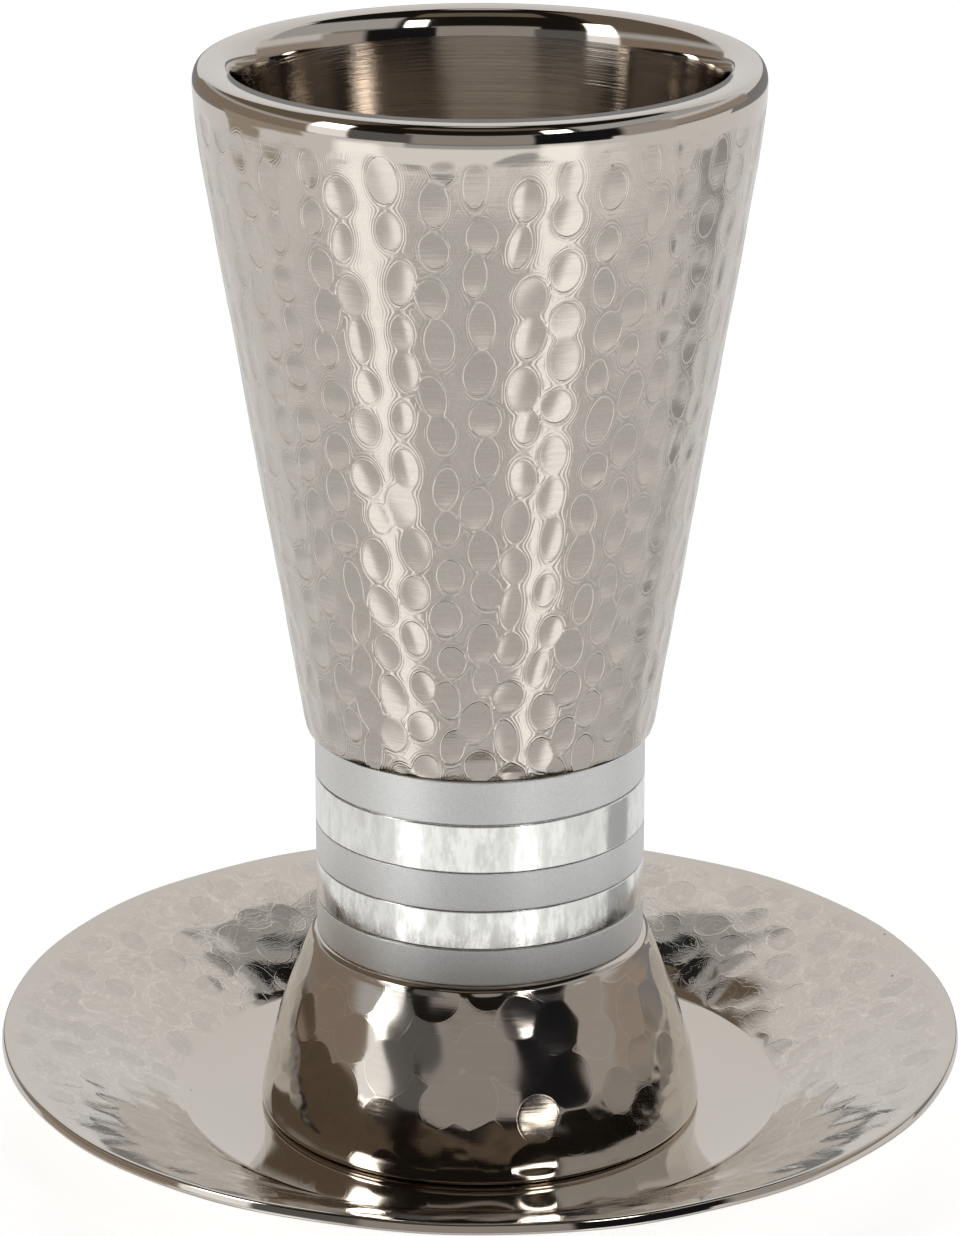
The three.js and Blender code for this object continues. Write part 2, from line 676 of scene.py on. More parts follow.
def new_group(name: str, output: str, **inputs: float) -> tuple[Tree, dict[str, Socket], Socket]:
    """Start a shader node group.

    Args:
        name: Name of the group.
        output: Name of its float output.
        inputs: Its float inputs and their defaults.

    Returns:
        The tree, the sockets of its inputs by name, and the socket that its output is fed by.
    """
    group = bpy.data.node_groups.new(name, "ShaderNodeTree")
    for label, default in inputs.items():
        socket = group.interface.new_socket(label, in_out="INPUT", socket_type="NodeSocketFloat")
        socket.default_value = default
    group.interface.new_socket(output, in_out="OUTPUT", socket_type="NodeSocketFloat")
    tree = Tree(group)
    given = tree.add("NodeGroupInput").outputs
    return tree, {label: given[label] for label in inputs}, tree.add("NodeGroupOutput").inputs[0]


def turned_scratches() -> bpy.types.NodeTree:
    """Build the group of fine scratches that run round a turned piece."""
    tree, given, made = new_group(
        "turned_scratches", "Scratch", Reach=60.0, Fineness=3000.0, Waviness=0.0
    )
    place = tree.place()
    x, y, _ = tree.split(place)
    wander = tree.centred(tree.noise(place, scale=90.0, detail=2.0))
    drift = tree.times(wander, given["Waviness"])
    across = tree.times(tree.total(tree.attribute("along"), drift), given["Fineness"])
    vector = tree.combine(tree.times(x, given["Reach"]), tree.times(y, given["Reach"]), across)
    tree.feed(made, tree.noise(vector, scale=1.0, detail=3.0, Roughness=0.62))
    return tree.graph


# The edge of a pit, as shares of the space that it has.
PIT_EDGE = (0.03, 0.07)


def pits() -> bpy.types.NodeTree:
    """Build the group of scattered pinholes, 1 in a pit and 0 outside."""
    tree, given, made = new_group("pits", "Pit", Density=260.0, Share=0.08)
    cells = tree.add("ShaderNodeTexVoronoi")
    tree.fill(cells, Vector=tree.place(), Scale=given["Density"])
    dot = tree.ramp(cells.outputs["Distance"], *PIT_EDGE, 1.0, 0.0)
    red, _, _ = tree.split(cells.outputs["Color"])
    tree.feed(made, tree.times(dot, tree.math("LESS_THAN", red, given["Share"])))
    return tree.graph


def smears() -> bpy.types.NodeTree:
    """Build the group of short curled rubbing strokes, 1 in a stroke and 0 outside."""
    tree, given, made = new_group("smears", "Smear", Fineness=260.0, Width=0.03)
    noise = tree.noise(tree.place(), given["Fineness"], detail=3.0, Distortion=1.6)
    level = tree.math("ABSOLUTE", tree.centred(noise))
    tree.feed(made, tree.ramp(level, 0.0, given["Width"], 1.0, 0.0))
    return tree.graph


@dataclass
class Effects:
    """The node groups that several finishes share."""

    scratches: bpy.types.NodeTree = field(default_factory=turned_scratches)
    pits: bpy.types.NodeTree = field(default_factory=pits)
    smears: bpy.types.NodeTree = field(default_factory=smears)


# ---------------------------------------------------------------------------------- finishes


@dataclass(frozen=True)
class Finish:
    """A metal finish. Each kind of metal builds its own nodes in dress().

    Depths are metres, and a shade or gain is what is left of the colour where it is full.
    """

    name: str
    colour: Colour
    roughness: float

    def make(self, effects: Effects) -> bpy.types.Material:
        """Build the material.

        Args:
            effects: The shared node groups.

        Returns:
            The material.
        """
        colour = opaque(self.colour)
        skin = Skin(self.name, Base_Color=colour, Metallic=1.0, Roughness=self.roughness)
        self.dress(skin, effects)
        return skin.material

    def dress(self, skin: Skin, effects: Effects) -> None:
        """Add what varies over the surface.

        Args:
            skin: The material.
            effects: The shared node groups.
        """
        raise NotImplementedError

    def vary(self, skin: Skin, change: Socket, amount: float, base: Value) -> None:
        """Let the roughness stray from a base, held between 0 and 1.

        Args:
            skin: The material.
            change: What it strays with.
            amount: How far it strays where the change is 1.
            base: The roughness where the change is 0.
        """
        rough = skin.math("ADD", base, skin.times(change, amount), clamp=True)
        skin.fill(skin.shader, Roughness=rough)


@dataclass(frozen=True)
class HammeredSatin(Finish):
    """Plated metal brushed between and across its hammer marks, and polished elsewhere."""

    polish: float = 0.05
    lines_a_mm: float = 3.4
    line_jitter: float = 0.16
    line_start_mm: tuple[float, float] = (-0.22, 0.02)
    line_fade_mm: tuple[float, float] = (0.25, 0.9)
    line_patches: tuple[float, float] = (0.35, 0.6)
    line_depth: float = 0.009 * MM
    # line_shade darkens the grooves of the contour lines as painted shade; the lines' relief is
    # real.
    line_shade: float = 0.85
    line_faintest: float = 0.35
    rim_width_mm: float = 0.09
    rim_depth: float = 0.0144 * MM
    # The outlines of the marks are real relief, lightened in the colour as a painted highlight.
    rim_highlight_gain: float = 1.09
    brush_depth: float = 0.0128 * MM
    brush_shade: float = 0.93
    brush_gloss: float = 0.12
    brush_streaks: tuple[float, float] = (0.35, 0.75)
    # The rubbing strokes are lightened in the colour as a painted sheen.
    smear_sheen_gain: float = 1.06
    tone_shade: float = 0.93
    pit_depth: float = -0.03 * MM
    pit_shade: float = 0.35

    def dress(self, skin: Skin, effects: Effects) -> None:
        """Add contour lines round the marks with painted shade in their grooves, outlines with a
        painted highlight, brushing inside them, smears with a painted sheen, and pinholes.

        Args:
            skin: The material.
            effects: The shared node groups.
        """
        place, shore, worked = skin.place(), skin.attribute("shore"), skin.attribute("worked")
        jitter = skin.times(skin.noise(place, scale=420.0, detail=2.0), self.line_jitter)
        count = skin.times(skin.total(shore, jitter), self.lines_a_mm)
        outside = skin.ramp(shore, *self.line_start_mm)
        patches = skin.noise(place, scale=330.0, detail=1.0)
        strength = skin.times(
            skin.ramp(patches, *self.line_patches, self.line_faintest),
            skin.ramp(shore, *self.line_fade_mm, 1.0, self.line_faintest),
            outside,
            worked,
        )
        lines = skin.times(skin.math("SINE", skin.times(count, 2.0 * math.pi)), strength)
        outline = skin.ramp(skin.math("ABSOLUTE", shore), 0.0, self.rim_width_mm, 1.0, 0.0)
        rim = skin.times(outline, worked)
        brush = skin.group(effects.scratches, Reach=150.0, Fineness=3000.0)
        brushed = skin.times(skin.centred(brush), worked)
        inside = skin.times(skin.math("SUBTRACT", 1.0, outside), worked)
        pit = skin.group(effects.pits, Density=190.0, Share=0.035)
        smear = skin.times(skin.group(effects.smears, Fineness=420.0, Width=0.03), worked)
        skin.relief(
            (lines, self.line_depth),
            (rim, self.rim_depth),
            (brushed, self.brush_depth),
            (pit, self.pit_depth),
        )
        gloss = skin.ramp(worked, 0.0, 1.0, self.polish, self.roughness)
        self.vary(skin, brushed, self.brush_gloss, gloss)
        # Painted shade: the grooves of the contour lines are darkened in the colour, on top of
        # their real relief.
        painted_line_shade = skin.math("MULTIPLY", skin.math("SUBTRACT", strength, lines), 0.5, clamp=True)
        skin.tint(
            self.colour,
            (painted_line_shade, self.line_shade),
            (skin.times(skin.ramp(brush, *self.brush_streaks), inside), self.brush_shade),
            # Painted sheen on the rubbing strokes.
            (smear, self.smear_sheen_gain),
            (skin.times(skin.attribute("tone"), inside), self.tone_shade),
            # Painted highlight along the outlines of the marks.
            (rim, self.rim_highlight_gain),
            (pit, self.pit_shade),
        )


@dataclass(frozen=True)
class MirrorMetal(Finish):
    """Polished hammered metal with faint outlines, a trace of brushing and pinholes."""

    rim_width_mm: float = 0.13
    rim_depth: float = 0.004 * MM
    # The outlines of the marks are real relief, lightened in the colour as a painted highlight.
    rim_highlight_gain: float = 1.12
    brush_depth: float = 0.0032 * MM
    brush_shade: float = 0.96
    brush_gloss: float = 0.06
    brush_streaks: tuple[float, float] = (0.4, 0.75)
    waviness: float = 0.0
    smear_depth: float = 0.0
    # The rubbing strokes, partly real relief, are lightened in the colour as a painted sheen.
    smear_sheen_gain: float = 1.0
    tone_shade: float = 0.96
    pit_share: float = 0.05
    pit_depth: float = -0.03 * MM
    pit_shade: float = 0.3

    def dress(self, skin: Skin, effects: Effects) -> None:
        """Add the outlines of the marks with a painted highlight, faint brushing, smears with a
        painted sheen, and pinholes.

        Args:
            skin: The material.
            effects: The shared node groups.
        """
        worked = skin.attribute("worked")
        shore = skin.math("ABSOLUTE", skin.attribute("shore"))
        rim = skin.times(skin.ramp(shore, 0.0, self.rim_width_mm, 1.0, 0.0), worked)
        brush = skin.group(
            effects.scratches, Reach=140.0, Fineness=2600.0, Waviness=self.waviness
        )
        smear = skin.times(skin.group(effects.smears, Fineness=240.0, Width=0.035), worked)
        pit = skin.group(effects.pits, Density=230.0, Share=self.pit_share)
        skin.relief(
            (rim, self.rim_depth),
            (smear, self.smear_depth),
            (skin.times(brush, worked), self.brush_depth),
            (pit, self.pit_depth),
        )
        self.vary(skin, skin.centred(brush), self.brush_gloss, self.roughness)
        skin.tint(
            self.colour,
            (skin.times(skin.ramp(brush, *self.brush_streaks), worked), self.brush_shade),
            (skin.times(skin.attribute("tone"), worked), self.tone_shade),
            (smear, self.smear_sheen_gain),
            # Painted highlight along the outlines of the marks.
            (rim, self.rim_highlight_gain),
            (pit, self.pit_shade),
        )


@dataclass(frozen=True)
class SpunMetal(Finish):
    """Metal with fine lathe scratches that run round it."""

    reach: float = 22.0
    fineness: float = 5200.0
    depth: float = 0.016 * MM
    gloss: float = 0.16
    streaks: tuple[float, float] = (0.4, 0.75)
    shade: float = 0.8

    def dress(self, skin: Skin, effects: Effects) -> None:
        """Add the scratches as relief, gloss and shade.

        Args:
            skin: The material.
            effects: The shared node groups.
        """
        scratch = skin.group(effects.scratches, Reach=self.reach, Fineness=self.fineness)
        skin.relief((scratch, self.depth))
        self.vary(skin, skin.centred(scratch), self.gloss, self.roughness)
        skin.tint(self.colour, (skin.ramp(scratch, *self.streaks), self.shade))


@dataclass(frozen=True)
class GrainedMetal(Finish):
    """Matt anodised metal with a fine even grain."""

    grain: float = 6500.0
    depth: float = 0.005 * MM
    specks: tuple[float, float] = (0.35, 0.75)
    shade: float = 0.84

    def dress(self, skin: Skin, effects: Effects) -> None:
        """Add the grain as relief and as a slight change of shade.

        Args:
            skin: The material.
            effects: The shared node groups.
        """
        grain = skin.noise(skin.place(), self.grain, detail=1.0)
        skin.relief((grain, self.depth))
        skin.tint(self.colour, (skin.ramp(grain, *self.specks), self.shade))


@dataclass(frozen=True)
class MottledMetal(Finish):
    """Bright turned metal, mottled in upright patches."""

    stretch: float = 0.4
    patch_depth: float = 0.020 * MM
    fine_depth: float = 0.004 * MM
    gloss_patches: tuple[float, float] = (0.3, 0.7)
    gloss_range: tuple[float, float] = (0.6, 1.6)
    shade_patches: tuple[float, float] = (0.35, 0.65)
    shade: float = 0.86

    def dress(self, skin: Skin, effects: Effects) -> None:
        """Add upright mottling to the relief, the gloss and the shade.

        Args:
            skin: The material.
            effects: The shared node groups.
        """
        x, y, z = skin.split(skin.place())
        upright = skin.combine(x, y, skin.times(z, self.stretch))
        patch = skin.noise(upright, scale=620.0, detail=4.0, Roughness=0.65)
        fine = skin.noise(upright, scale=2600.0, detail=2.0, Roughness=0.6)
        skin.relief((patch, self.patch_depth), (fine, self.fine_depth))
        ends = (self.roughness * share for share in self.gloss_range)
        skin.fill(skin.shader, Roughness=skin.ramp(patch, *self.gloss_patches, *ends))
        skin.tint(self.colour, (skin.ramp(patch, *self.shade_patches), self.shade))


NICKEL: Colour = (0.66, 0.608, 0.548)
# The bowl's inside is the same nickel, darkened as painted shade inside the cup.
SHADED_NICKEL: Colour = (0.45, 0.40, 0.35)


class Metal(Enum):
    """Every finish of the object."""

    BOWL_OUTSIDE = HammeredSatin("hammered_satin_nickel", NICKEL, 0.135)
    # The inside's darker nickel is painted shade.
    BOWL_INSIDE = SpunMetal("spun_nickel", SHADED_NICKEL, 0.075)
    FOOT = MirrorMetal("mirror_nickel", NICKEL, 0.09)
    SAUCER = MirrorMetal(
        "saucer_nickel",
        NICKEL,
        0.05,
        rim_depth=0.006 * MM,
        brush_depth=0.0088 * MM,
        brush_shade=0.9,
        waviness=0.02,
        smear_depth=0.003 * MM,
        # A stronger painted sheen on the saucer's rubbing strokes.
        smear_sheen_gain=1.13,
        tone_shade=0.9,
        pit_share=0.09,
    )
    SATIN = GrainedMetal("satin_aluminium", (0.94, 0.95, 0.94), 0.42)
    POLISHED = MottledMetal("polished_aluminium", (0.95, 0.945, 0.915), 0.12)


@dataclass
class Palette:
    """The materials, each built when a piece first asks for it."""

    effects: Effects = field(default_factory=Effects)
    made: dict[Metal, bpy.types.Material] = field(default_factory=dict)

    def material(self, metal: Metal) -> bpy.types.Material:
        """Build a finish once.

        Args:
            metal: The finish.

        Returns:
            Its material.
        """
        if metal not in self.made:
            self.made[metal] = metal.value.make(self.effects)
        return self.made[metal]


# ------------------------------------------------------------------------------------ pieces


def segments(fine: int) -> int:
    """Steps round a piece."""
    return fine


@dataclass
class TurnedPiece:
    """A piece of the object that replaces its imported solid.

    Attributes:
        node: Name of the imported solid.
        metals: Its finishes in the order of Zone, the first of which names its material slot.
        palette: The materials.
    """

    node: str
    metals: tuple[Metal, ...]
    palette: Palette

    @cached_property
    def corners(self) -> tuple[Vector, Vector]:
        """The solid's lowest and highest corners."""
        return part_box(self.node)

    @property
    def low(self) -> float:
        """Height of the solid's underside."""
        return self.corners[0].z

    @property
    def high(self) -> float:
        """Height of the solid's top."""
        return self.corners[1].z

    @property
    def radius(self) -> float:
        """The solid's largest radius."""
        return self.corners[1].x

    @property
    def slot(self) -> str:
        """The record's material slot."""
        return self.metals[0].value.name

    def build(self) -> None:
        """Make the piece, in the place of its solid, and join it to the frame."""
        piece = self.shape()
        for metal in self.metals:
            piece.data.materials.append(self.palette.material(metal))
        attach(piece, BODY)
        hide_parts(self.node)
        triangles = sum(len(face.vertices) - 2 for face in piece.data.polygons)
        log.info("%s: %d triangles", piece.name, triangles)

    def shape(self) -> bpy.types.Object:
        """Make the piece's mesh."""
        raise NotImplementedError


@dataclass
class Bowl(TurnedPiece):
    """The hammered cone of the cup, with its broad rounded lip and spun inside.

    Its spigot, neck, fills the seam under it. The hammering ends polished_lip below the lip,
    in a wavy border over which it fades. mouth_step is where the polish of the lip ends.
    """

    seam: float = 0.28 * MM
    neck: float = 20.6 * MM
    corner: float = 0.55 * MM
    corner_press: float = 0.3
    foot_radius: float = 22.85 * MM
    lip_rise: float = 1.2 * MM
    lip_width: float = 1.1 * MM
    lip_height: float = 2.4 * MM
    draw: float = 0.7 * MM
    draw_height: float = 12.0 * MM
    lip_wall: float = 4.2 * MM
    mouth_width: float = 2.2 * MM
    mouth_height: float = 5.7 * MM
    mouth_start: float = math.radians(102.0)
    mouth_end: float = math.radians(157.0)
    mouth_step: Point = (0.05 * MM, 0.3 * MM)
    floor: float = 5.8 * MM
    floor_radius: float = 19.0 * MM
    floor_corner: float = 4.0 * MM
    wall_steps: int = 170
    inner_steps: int = 10
    lip_steps: int = 12
    polished_lip: float = 1.6 * MM
    border: Waves = Waves(0.6 * MM, counts=(5, 13, 22), shifts=(0.6, 2.0, 1.0))
    border_fade: tuple[float, float] = (-0.8 * MM, 0.2 * MM)
    hammering: Hammering = Hammering(
        columns=40,
        rows=14,
        half_width=1.72 * MM,
        half_height=2.65 * MM,
        depth=0.14 * MM,
        ridge=0.04 * MM,
        scatter=0.2,
        wander=0.2,
        tilt=0.2,
        seed=7,
        slow=Waves(0.035 * MM, counts=(7, 11, 17), shifts=(0.3, 1.7, 5.0), twist=25.0),
        early=1.0 * MM,
        late=-1.6 * MM,
    )

    def wall(self, height: float) -> Point:
        """Find a point of the outer wall: a cone that draws in below the lip.

        Args:
            height: Height of the point.

        Returns:
            The point.
        """
        lip = self.high - self.lip_rise
        slope = (self.radius + self.draw - self.foot_radius) / (lip - self.low)
        cone = self.radius + self.draw - slope * (lip - height)
        share = max(0.0, 1.0 - (lip - height) / self.draw_height)
        return cone - self.draw * share * share, height

    def shape(self) -> bpy.types.Object:
        """Spin the bowl and hammer its outside."""
        low, foot = self.low, self.low - self.seam
        base, shoulder = low + self.corner, self.high - self.lip_height
        lean = math.atan2(self.radius - self.foot_radius, self.high - low)
        corner = (self.foot_radius - self.corner, base)
        section = HalfSection(foot)
        section.line((self.neck, foot), (self.neck, low), (corner[0], low))
        section.press = self.corner_press
        section.arc(corner, self.corner, -QUARTER, -lean, 5)
        start, end = section.hammered(
            lambda share: self.wall(base + (shoulder - base) * share), self.wall_steps
        )
        self.draw_lip(section)
        self.draw_inside(section, lean)
        piece = section.spin("hammered_bowl", segments(FINE_SEGMENTS))
        surface = Surface(piece)
        border = end - self.polished_lip + self.border.at(surface.turn)
        faded = smooth_step(surface.along - border, *self.border_fade)
        surface.store("press", surface.press * (1.0 - faded))
        self.hammering.press(piece, start, end)
        return piece

    def draw_lip(self, section: HalfSection) -> None:
        """Draw the lip: an oval outside, a flat top and a steeper oval into the mouth.

        Args:
            section: The half-section, drawn up to the lip.
        """
        edge = section.end
        centre = (edge.radius - self.lip_width, edge.height)
        tall = self.high - edge.height
        section.arc(centre, self.lip_width, 0.0, QUARTER, self.lip_steps, tall)
        start, end, tall = self.mouth_start, self.mouth_end, self.mouth_height
        inner = self.radius - self.lip_wall
        mouth = (inner - self.mouth_width * math.cos(start), self.high - tall * math.sin(start))
        section.arc(mouth, self.mouth_width, start, end, self.lip_steps, tall)

    def draw_inside(self, section: HalfSection, lean: float) -> None:
        """Draw the inner wall and the rounded floor.

        Args:
            section: The half-section, drawn up to the inner wall.
            lean: How far the wall leans.
        """
        height, corner = self.low + self.floor, self.floor_corner
        well = (self.floor_radius - corner, height + corner)
        edge = section.end
        section.zone = Zone.INSIDE
        section.line((edge.radius - self.mouth_step[0], edge.height - self.mouth_step[1]))
        foot = (well[0] + corner * math.cos(lean), well[1] - corner * math.sin(lean))
        section.line(foot, steps=self.inner_steps)
        section.arc(well, corner, -lean, -QUARTER)
        section.line((0.0, height), steps=2)


@dataclass
class Ring(TurnedPiece):
    """One disc of the neck, with crisp lightly broken edges and a spigot under it.

    loops are where its flat underside and top get a loop of points, as shares of their radii.
    """

    gap: float = 0.1 * MM
    bevel: float = 0.08 * MM
    relief: float = 0.4 * MM
    seam: float = 0.29 * MM
    step: float = 0.05 * MM
    loops: tuple[float, float] = (0.7, 0.97)
    sharp: float = math.radians(40.0)

    def shape(self) -> bpy.types.Object:
        """Spin the disc, with a narrow spigot that fills the seam under it."""
        high, radius, bevel = self.high, self.radius, self.bevel
        foot = self.low - self.seam
        low = foot + self.gap
        neck, edge = radius - self.relief, radius - bevel
        section = HalfSection(foot)
        section.line((neck * self.loops[0], foot), (neck, foot), (neck, low))
        section.line((neck + self.step, low), (edge, low))
        section.arc((edge, low + bevel), bevel, -QUARTER, 0.0, 3)
        section.line((radius, low + 3.0 * bevel))
        section.line((radius, high - 3.0 * bevel), steps=3)
        section.arc((edge, high - bevel), bevel, 0.0, QUARTER, 3)
        section.line((edge * self.loops[1], high), (0.0, high))
        piece = section.spin(f"disc_{self.node}", segments(PLAIN_SEGMENTS))
        piece.data.set_sharp_from_angle(angle=self.sharp)
        return piece


@dataclass
class Foot(TurnedPiece):
    """The hammered bell under the neck, hollow below.

    loops are where its roof and its top get a loop of points, as shares of their radii.
    """

    seam: float = 0.25 * MM
    top_radius: float = 22.2 * MM
    swell: float = 1.43
    shoulder: float = 0.5 * MM
    bead: float = 0.8 * MM
    wall: float = 3.4 * MM
    roof: float = 5.5 * MM
    wall_steps: int = 110
    inner_steps: int = 16
    loops: tuple[float, float] = (0.96, 0.9)
    fades: tuple[float, float] = (1.4 * MM, 0.8 * MM)
    hammering: Hammering = Hammering(
        columns=28,
        rows=4,
        half_width=3.1 * MM,
        half_height=3.3 * MM,
        depth=0.09 * MM,
        ridge=0.0,
        scatter=0.16,
        wander=0.22,
        tilt=0.3,
        seed=23,
        slow=Waves(0.05 * MM, counts=(6, 9, 15), shifts=(1.1, 0.4, 2.9), twist=40.0),
        early=1.0 * MM,
        late=1.5 * MM,
    )

    @property
    def bottom_radius(self) -> float:
        """The bell's radius at its underside."""
        share = self.bead / (self.high - self.low)
        return self.top_radius + (self.radius - self.top_radius) / (1.0 - share**self.swell)

    def bell(self, share: float) -> float:
        """The bell's radius at a share of its height, from its underside."""
        spread = 1.0 - share**self.swell
        return self.top_radius + (self.bottom_radius - self.top_radius) * spread

    def side(self, share: float, inset: float = 0.0) -> Point:
        """A point up the bell's side, moved inwards by an inset."""
        low = self.low - self.seam
        return self.bell(share) - inset, low + share * (self.high - low)

    def shape(self) -> bpy.types.Object:
        """Spin the bell and hammer its sides."""
        low, high, bead = self.low - self.seam, self.high, self.bead
        height = high - low
        first, last = bead / height, 1.0 - self.shoulder / height
        roof = 1.0 - self.roof / height
        rim = self.bell(first) - bead
        top = self.side(roof, self.wall)
        section = HalfSection(top[1])
        section.line((top[0] * self.loops[0], top[1]))
        section.follow(lambda share: self.side(roof * (1.0 - share), self.wall), self.inner_steps)
        section.line((rim, low))
        section.arc((rim, low + bead), bead, -QUARTER, 0.0)
        stretch = section.hammered(
            lambda share: self.side(first + (last - first) * share), self.wall_steps
        )
        section.line((self.top_radius - self.shoulder, high), steps=2)
        section.line((self.top_radius * self.loops[1], high), (0.0, high))
        piece = section.spin("hammered_foot", segments(FINE_SEGMENTS))
        Surface(piece).fade_ends(*stretch, *self.fades)
        self.hammering.press(piece, *stretch)
        return piece


@dataclass
class Saucer(TurnedPiece):
    """The shallow saucer: a smooth middle and a hammered rim that flattens outwards."""

    sheet: float = 1.5 * MM
    flat_radius: float = 30.0 * MM
    crease_radius: float = 40.0 * MM
    crease_rise: float = 1.3 * MM
    steep: float = math.tan(math.radians(32.0))
    end_angle: float = math.radians(14.5)
    edge_round: float = 0.35 * MM
    dish_steps: int = 14
    under_steps: int = 30
    rim_steps: int = 96
    fades: tuple[float, float] = (3.0 * MM, 1.2 * MM)
    warp: Waves = Waves(0.10 * MM, counts=(3, 7, 16), shifts=(0.9, 2.4, 0.2))
    hammering: Hammering = Hammering(
        columns=56,
        rows=4,
        half_width=2.5 * MM,
        half_height=2.6 * MM,
        depth=0.06 * MM,
        ridge=0.02 * MM,
        scatter=0.2,
        wander=0.26,
        tilt=0.5,
        seed=41,
        slow=Waves(0.03 * MM, counts=(9, 14, 23), shifts=(0.5, 3.0, 1.9), twist=30.0),
        early=-1.0 * MM,
        late=0.3 * MM,
    )

    def climb(self, share: float, width: float) -> float:
        """How far a rim of some width has climbed from the crease at a share of it."""
        gentle = math.tan(self.end_angle)
        return width * share * (self.steep - (self.steep - gentle) * share / 2.0)

    def dish(self, share: float, lift: float) -> Point:
        """A point of the dish between the flat middle and the crease."""
        radius = self.flat_radius + (self.crease_radius - self.flat_radius) * share
        return radius, lift + self.crease_rise * share * share

    def rim(self, share: float, lift: float, edge: Point) -> Point:
        """Find a point of the rim between the crease and an edge.

        Args:
            share: Share of the way from the crease.
            lift: Height of the face's flat middle.
            edge: The edge.

        Returns:
            The point.
        """
        width = edge[0] - self.crease_radius
        start = lift + self.crease_rise
        rise = edge[1] - lift - self.crease_rise
        height = start + rise * self.climb(share, width) / self.climb(1.0, width)
        return self.crease_radius + width * share, height

    def shape(self) -> bpy.types.Object:
        """Spin the sheet and hammer its rim."""
        low, top = self.low, self.low + self.sheet
        upper_radius = self.radius - self.sheet * math.sin(self.end_angle)
        upper_height = top + self.crease_rise
        upper_height += self.climb(1.0, upper_radius - self.crease_radius)
        upper = (upper_radius, upper_height)
        under = (self.radius, upper_height - self.sheet * math.cos(self.end_angle))
        full = 1.0 - self.edge_round / (self.radius - self.crease_radius)
        section = HalfSection(low)
        section.line((self.flat_radius, low), steps=3)
        section.follow(lambda share: self.dish(share, low), self.dish_steps)
        section.follow(lambda share: self.rim(share * full, low, under), self.under_steps)
        self.round_edge(section, under, upper)
        stretch = section.hammered(
            lambda share: self.rim((1.0 - share) * full, top, upper), self.rim_steps
        )
        section.follow(lambda share: self.dish(1.0 - share, top), self.dish_steps)
        section.line((0.0, top), steps=4)
        piece = section.spin("hammered_saucer", segments(FINE_SEGMENTS))
        Surface(piece).fade_ends(*stretch, *self.fades)
        self.hammering.press(piece, *stretch)
        self.warp_rim(Surface(piece))
        return piece

    def round_edge(self, section: HalfSection, under: Point, upper: Point) -> None:
        """Round both corners of the sheet's edge.

        Args:
            section: The half-section, drawn up to the edge.
            under: The lower corner.
            upper: The upper corner.
        """
        turn, inset = self.end_angle, self.edge_round
        outwards = Vector((math.cos(turn), math.sin(turn)))
        upwards = Vector((-math.sin(turn), math.cos(turn)))
        first = Vector(under) - outwards * inset + upwards * inset
        second = Vector(upper) - outwards * inset - upwards * inset
        section.arc(tuple(first), inset, turn - QUARTER, turn, 4)
        section.arc(tuple(second), inset, turn, turn + QUARTER, 4)

    def warp_rim(self, surface: Surface) -> None:
        """Let the whole rim rise and fall a little round the saucer.

        Args:
            surface: The hammered saucer.
        """
        width = self.radius - self.crease_radius
        share = np.clip((surface.radius - self.crease_radius) / width, 0.0, 1.0)
        surface.move(np.outer(self.warp.at(surface.turn) * share**2, (0.0, 0.0, 1.0)))


# -------------------------------------------------------------------------------- the studio


@dataclass(frozen=True)
class Panel:
    """A patch of light in the studio, seen from the object, in degrees.

    Azimuth 0 is in front of the object and 90 on its right. Softness is the width of the
    patch's faded border, outside its width and height. The light is a grey or a colour.
    """

    azimuth: float
    width: float
    elevation: float
    height: float
    softness: float
    light: float | Colour

    def mask(self, tree: Tree, azimuth: Socket, elevation: Socket) -> Socket:
        """Build the patch's mask.

        Args:
            tree: The world's tree.
            azimuth: Azimuth of a direction, in radians.
            elevation: Its elevation, in radians.

        Returns:
            How fully the patch covers that direction, from 0 to 1.
        """
        away = tree.math("SUBTRACT", azimuth, math.radians(self.azimuth))
        around = tree.math("WRAP", away, math.pi, -math.pi)
        over = tree.math("SUBTRACT", elevation, math.radians(self.elevation))
        soft = math.radians(self.softness)
        masks = []
        for offset, size in ((around, self.width), (over, self.height)):
            half = math.radians(size) / 2.0
            masks.append(tree.ramp(tree.math("ABSOLUTE", offset), half, half + soft, 1.0, 0.0))
        return tree.times(*masks)


# The fields of every panel, in the order of Panel. A later one covers those before it.
PANELS: tuple[tuple[float | Colour, ...], ...] = (
    (0, 360, -60, 60, 4, 0.60),
    (0, 360, -17, 22, 3, 0.75),
    (0, 120, -22, 4, 3, 0.92),
    (-3, 52, -15, 5, 2, 0.44),
    (180, 124, 24, 48, 4, 0.77),
    (180, 124, -3, 16, 1, 0.24),
    (113, 24, -22, 4, 2, 0.36),
    (119, 8, -35, 12, 5, 0.52),
    (-110, 80, 3, 18, 5, (0.27, 0.22, 0.18)),
    (-98, 44, -12, 7, 3, (0.38, 0.33, 0.27)),
    (-110, 80, 19, 8, 5, 0.50),
    (-102, 75, 44, 40, 9, (0.15, 0.12, 0.09)),
    (104, 48, 5, 12, 5, (0.36, 0.31, 0.27)),
    (104, 48, 19, 10, 5, 0.68),
    (82, 75, 33, 20, 5, 0.45),
    (70, 20, 6, 22, 5, (0.40, 0.37, 0.35)),
    (-3, 50, 5.5, 27, 3, (0.344, 0.321, 0.306)),
    (-3, 50, -10, 3, 2, 0.25),
    (-40, 24, 4, 22, 3, 0.12),
    (37, 30, 4, 28, 2, (0.010, 0.010, 0.012)),
    (-62, 16, 4, 20, 2, 1.1),
    (-62, 12, 22, 16, 3, (7.0, 6.9, 6.7)),
    (32, 9, 28, 12, 2, (7.0, 6.9, 6.7)),
    (-50, 13, -33, 28, 6, 1.3),
    (33, 11, -33, 28, 6, 1.3),
    (0, 70, 52, 12, 4, (0.16, 0.13, 0.10)),
    (180, 66, 58, 18, 4, 0.80),
    (143, 18, 58, 18, 3, 0.40),
    (-143, 18, 58, 18, 3, 0.40),
    (134, 10, 60, 12, 2, 0.02),
    (-136, 10, 60, 12, 2, 0.02),
    (0, 360, 88, 6, 5, 0.6),
)


